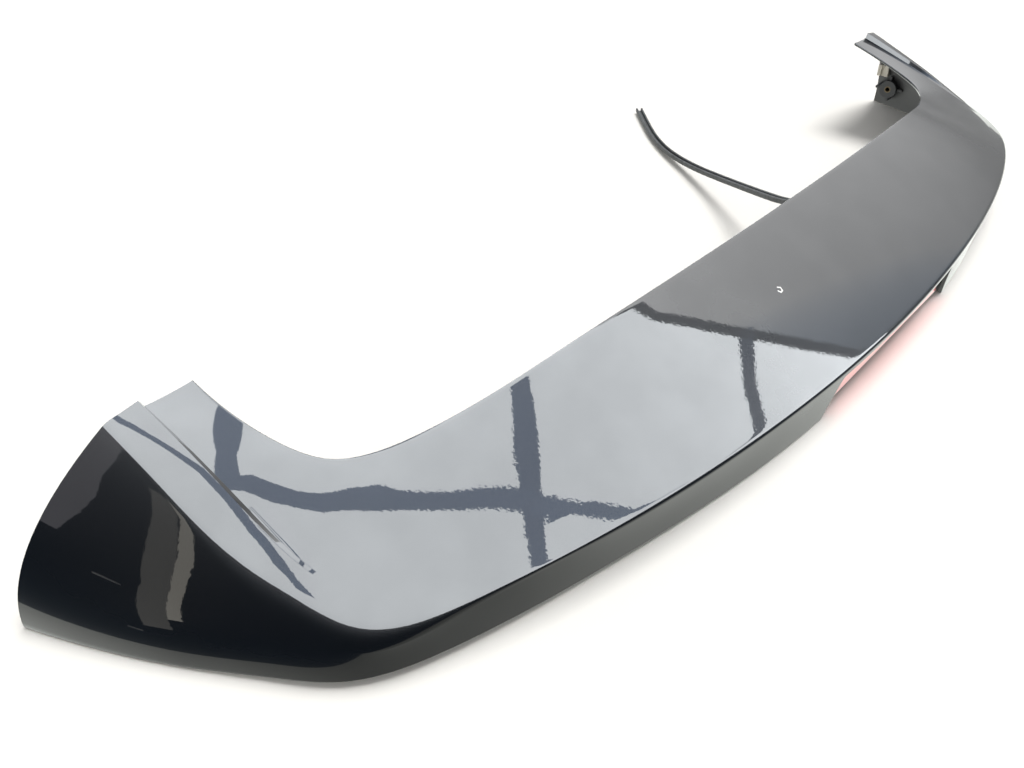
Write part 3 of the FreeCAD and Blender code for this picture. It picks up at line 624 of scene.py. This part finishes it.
# Floor in metres, and the part of it that the gloss mirrors, whose left edge passes close to the left leg.
# Its gleam rises over a stretch of y towards the legs' tips, and over a stretch of x along the span.
FLOOR_HALF = 6.0
GLEAM_OUTLINE = ((-0.46, -0.16), (0.3, -0.2), (1.2, -0.2), (1.2, 0.9), (-1.06, 0.9))
GLEAM_DROP = 0.001
GLEAM_RADIANCE = 0.5
GLEAM_RISE = 0.65
GLEAM_TO_TIPS = (-0.05, 0.12)
GLEAM_ALONG_SPAN = (-0.4, 0.1)
GLEAM_COLOUR = (0.97, 1.0, 0.95)


def make_floor():
    half = FLOOR_HALF
    material, tree, shader = node_material("white_floor")
    set_values(shader, Roughness=0.9, Specular_IOR_Level=0.1)
    white = ramp(tree, noise(tree, 2.0, 2.0), 0.2, 0.8, (0.8, 0.78, 0.74), (0.82, 0.8, 0.76))
    tree.links.new(white, shader.inputs["Base Color"])
    corners = ((-half, -half, 0.0), (half, -half, 0.0), (half, half, 0.0), (-half, half, 0.0))
    floor = new_object("floor", corners, [(0, 1, 2, 3)])
    floor.data.materials.append(material)
    floor.visible_glossy = False
    outline = [(x, y, -GLEAM_DROP) for x, y in GLEAM_OUTLINE]
    tree, light = glow("floor_gleam", outline, [tuple(range(len(outline)))], GLEAM_COLOUR, GLEAM_RADIANCE)
    parts = place_parts(tree, "Object")
    to_tips = stretch(tree, parts["Y"], *GLEAM_TO_TIPS, GLEAM_RADIANCE, GLEAM_RADIANCE + GLEAM_RISE)
    along_span = stretch(tree, parts["X"], *GLEAM_ALONG_SPAN, 0.0, GLEAM_RISE)
    tree.links.new(combine(tree, "ADD", to_tips, along_span), light.inputs["Strength"])


# Light panel in metres, at its height over the floor.
PANEL_HEIGHT = 0.8
PANEL_OUTLINE = ((-1.0, -3.2), (4.6, -3.2), (1.9, -1.26), (1.083, -0.73), (0.734, -0.488), (0.584, -0.369),
                 (0.38, -0.202), (0.26, 0.05), (0.2, 0.1), (0.2, 0.6), (-1.0, 0.6))
PANEL_RADIANCE = 10.4
PANEL_COLOUR = (0.955, 1.0, 1.035)
# Dark bars under the panel: height, radiance, and a line of points in x and y with the width at each.
BAR_HEIGHT = 0.795
LOW_BAR_HEIGHT = 0.4
SLANT_BAR_HEIGHT = 0.2
BARS = {
    "long_bar": (BAR_HEIGHT, 1.9, (
        (-0.36, 0.15, 0.07), (-0.36, 0.05, 0.065), (-0.335, -0.03, 0.045), (-0.30, -0.13, 0.034),
        (-0.24, -0.28, 0.031), (-0.17, -0.40, 0.029), (-0.075, -0.54, 0.034), (0.14, -0.83, 0.036),
        (0.4, -1.2, 0.04))),
    "near_bar": (LOW_BAR_HEIGHT, 1.9, (
        (-0.33, 0.21, 0.035), (-0.36, 0.178, 0.03), (-0.396, 0.141, 0.015), (-0.4285, 0.107, 0.018),
        (-0.455, 0.08, 0.02))),
    "middle_bar": (BAR_HEIGHT, 1.7, (
        (-0.17, 0.1, 0.05), (-0.197, 0.0, 0.05), (-0.22, -0.1, 0.052), (-0.241, -0.25, 0.046),
        (-0.25, -0.4, 0.045), (-0.27, -0.9, 0.045))),
    "upper_bar": (BAR_HEIGHT, 0.15, (
        (0.26, 0.05, 0.05), (0.30, -0.07, 0.05), (0.38, -0.202, 0.031), (0.584, -0.369, 0.033),
        (0.734, -0.488, 0.032), (0.912, -0.615, 0.035), (1.083, -0.73, 0.038), (1.304, -0.871, 0.036),
        (1.9, -1.26, 0.05))),
    "far_bar": (BAR_HEIGHT, 0.6, (
        (0.722, -0.46, 0.068), (0.712, -0.502, 0.068), (0.696, -0.563, 0.067), (0.676, -0.632, 0.063),
        (0.664, -0.71, 0.061), (0.659, -0.788, 0.067), (0.66, -1.3, 0.09))),
    "slant_bar": (SLANT_BAR_HEIGHT, 2.0, (
        (-0.512, 0.16, 0.0025), (-0.512, 0.145, 0.0025), (-0.512, 0.123, 0.0025), (-0.511, 0.103, 0.0035),
        (-0.51, 0.08, 0.005), (-0.512, 0.066, 0.0055), (-0.514, 0.048, 0.007), (-0.517, 0.03, 0.008),
        (-0.519, 0.012, 0.009), (-0.519, -0.003, 0.01), (-0.522, -0.017, 0.0105), (-0.527, -0.03, 0.013),
        (-0.543, -0.044, 0.016))),
}
BAR_COLOUR = (0.55, 0.77, 1.2)
# Upright boards that the near side mirrors, all at one x: colour, radiance, and rows of height with the y
# of each end.
BOARD_X = -1.9
BOARDS = {
    "warm_board": ((1.0, 0.99, 0.95), 0.8, (
        (-0.4, 0.07, 0.175), (0.3, 0.07, 0.165), (0.75, 0.11, 0.215), (1.15, 0.18, 0.27), (1.5, 0.27, 0.34))),
    "pale_board": ((1.0, 0.96, 0.86), 2.4, (
        (-0.2, 0.02, 0.07), (0.3, 0.02, 0.07), (0.8, 0.045, 0.115), (1.2, 0.12, 0.185), (1.6, 0.16, 0.28))),
    "grey_board": ((1.0, 1.0, 1.1), 0.95, (
        (0.52, 0.44, 1.2), (0.8, 0.41, 1.2), (1.06, 0.41, 1.3), (1.3, 0.45, 1.4), (1.8, 0.48, 1.6),
        (2.4, 0.44, 1.8))),
}


def glow(name, vertices, faces, colour, radiance):
    """Lit surface that only the gloss of the part sees, with its tree and light to add to."""
    made = new_object(name, vertices, faces)
    material = bpy.data.materials.new(name)
    material.use_nodes = True
    tree = material.node_tree
    tree.nodes.clear()
    output = tree.nodes.new("ShaderNodeOutputMaterial")
    light = tree.nodes.new("ShaderNodeEmission")
    light.inputs["Color"].default_value = (*colour, 1.0)
    light.inputs["Strength"].default_value = radiance
    tree.links.new(light.outputs["Emission"], output.inputs["Surface"])
    made.data.materials.append(material)
    made.visible_camera = False
    made.visible_diffuse = False
    made.visible_shadow = False
    return tree, light


def strip_faces(count):
    """Quads of a strip of count pairs of vertices."""
    return [(2 * k, 2 * k + 1, 2 * k + 3, 2 * k + 2) for k in range(count - 1)]


def make_bar(name, height, radiance, line):
    """Level strip along a line of points, as wide at each as the line says."""
    points = [Vector(point[:2]) for point in line]
    vertices = []
    for index, point in enumerate(points):
        ahead = points[min(index + 1, len(points) - 1)] - points[max(index - 1, 0)]
        aside = Vector((-ahead.y, ahead.x)).normalized() * 0.5 * line[index][2]
        vertices += [(*(point - aside), height), (*(point + aside), height)]
    glow(name, vertices, strip_faces(len(points)), BAR_COLOUR, radiance)


def make_board(name, colour, radiance, rows):
    """Upright strip with an edge at each end of its rows."""
    vertices = [(BOARD_X, y, height) for height, *sides in rows for y in sides]
    glow(name, vertices, strip_faces(len(rows)), colour, radiance)


# Strengths of the room's light: even light, backdrop, and the dim room that the gloss sees. On the far
# right, over stretches of the direction's x and y, the gloss sees a light that grows with height.
AMBIENT = 0.55
BACKDROP = 0.95
DIM_ROOM = 0.1
DIM_COLOUR = (0.68, 0.95, 1.35)
PLAIN_COLOUR = (0.99, 1.0, 1.01)
FAR_RIGHT = (-0.1, 0.6)
FAR_AHEAD = (-0.5, -0.3)
FAR_LOW = 0.35
FAR_RISE = 6.4
FAR_POWER = 1.6


def room_light():
    """Pale backdrop and even light. The gloss sees a dim room that grows brighter up on the far right."""
    world = bpy.data.worlds.new("room")
    world.use_nodes = True
    tree = world.node_tree
    parts = place_parts(tree, "Generated")
    path = tree.nodes.new("ShaderNodeLightPath")
    right = stretch(tree, parts["X"], *FAR_RIGHT, 0.0, 1.0)
    ahead = stretch(tree, parts["Y"], *FAR_AHEAD, 0.0, 1.0)
    far = combine(tree, "MULTIPLY", right, ahead)
    up = combine(tree, "POWER", combine(tree, "MAXIMUM", parts["Z"], 0.0), FAR_POWER)
    high = stretch(tree, up, 0.0, 1.0, FAR_LOW, FAR_LOW + FAR_RISE)
    seen_in_gloss = combine(tree, "MAXIMUM", combine(tree, "MULTIPLY", far, high), DIM_ROOM)
    plain = stretch(tree, path.outputs["Is Camera Ray"], 0.0, 1.0, AMBIENT, BACKDROP)
    strength = stretch(tree, path.outputs["Is Glossy Ray"], 0.0, 1.0, plain, seen_in_gloss)
    background = tree.nodes["Background"]
    not_dim = combine(tree, "MAXIMUM", far, combine(tree, "SUBTRACT", 1.0, path.outputs["Is Glossy Ray"]))
    tree.links.new(ramp(tree, not_dim, 0.0, 1.0, DIM_COLOUR, PLAIN_COLOUR), background.inputs["Color"])
    tree.links.new(strength, background.inputs["Strength"])
    bpy.context.scene.world = world


# Soft daylight from high up, in metres and degrees: with the even light it whitens the floor and shades it
# along the hem.
SUN_PLACE = (0.0, 1.0, 3.0)
SUN_HEIGHT = 74.0
SUN_TURN = -111.0
SUN_SPREAD = 32.0
SUN_STRENGTH = 2.75
# Red light under the lamp, in metres and watts.
SPILL_PLACE = (0.0, -0.14, 0.03)
SPILL_SIZE = (0.21, 0.012)
SPILL_POWER = 0.003
SPILL_COLOUR = (1.0, 0.12, 0.1)


def add_light(kind, name, place, turn):
    """Lamp that the gloss doesn't see."""
    data = bpy.data.lights.new(name, kind)
    light = bpy.data.objects.new(name, data)
    light.location = place
    light.rotation_euler = turn
    light.visible_glossy = False
    bpy.context.scene.collection.objects.link(light)
    return data


def make_light():
    room_light()
    outline = [(x, y, PANEL_HEIGHT) for x, y in PANEL_OUTLINE]
    glow("light_panel", outline, [tuple(range(len(outline)))], PANEL_COLOUR, PANEL_RADIANCE)
    for name, bar in BARS.items():
        make_bar(name, *bar)
    for name, board in BOARDS.items():
        make_board(name, *board)
    sun_turn = (math.radians(SUN_HEIGHT - 90.0), 0.0, math.radians(SUN_TURN))
    sun = add_light("SUN", "daylight", SUN_PLACE, sun_turn)
    sun.energy = SUN_STRENGTH
    sun.angle = math.radians(SUN_SPREAD)
    spill = add_light("AREA", "lamp_spill", SPILL_PLACE, (0.0, 0.0, 0.0))
    spill.shape = "RECTANGLE"
    spill.size, spill.size_y = SPILL_SIZE
    spill.energy = SPILL_POWER
    spill.color = SPILL_COLOUR
    bpy.context.scene.view_settings.view_transform = "Standard"


make_camera()
rubber, plastic, hem_highlight = dress_nodes()
make_strip(rubber)
make_skin(paint_material(), plastic, hem_highlight)
make_floor()
make_light()
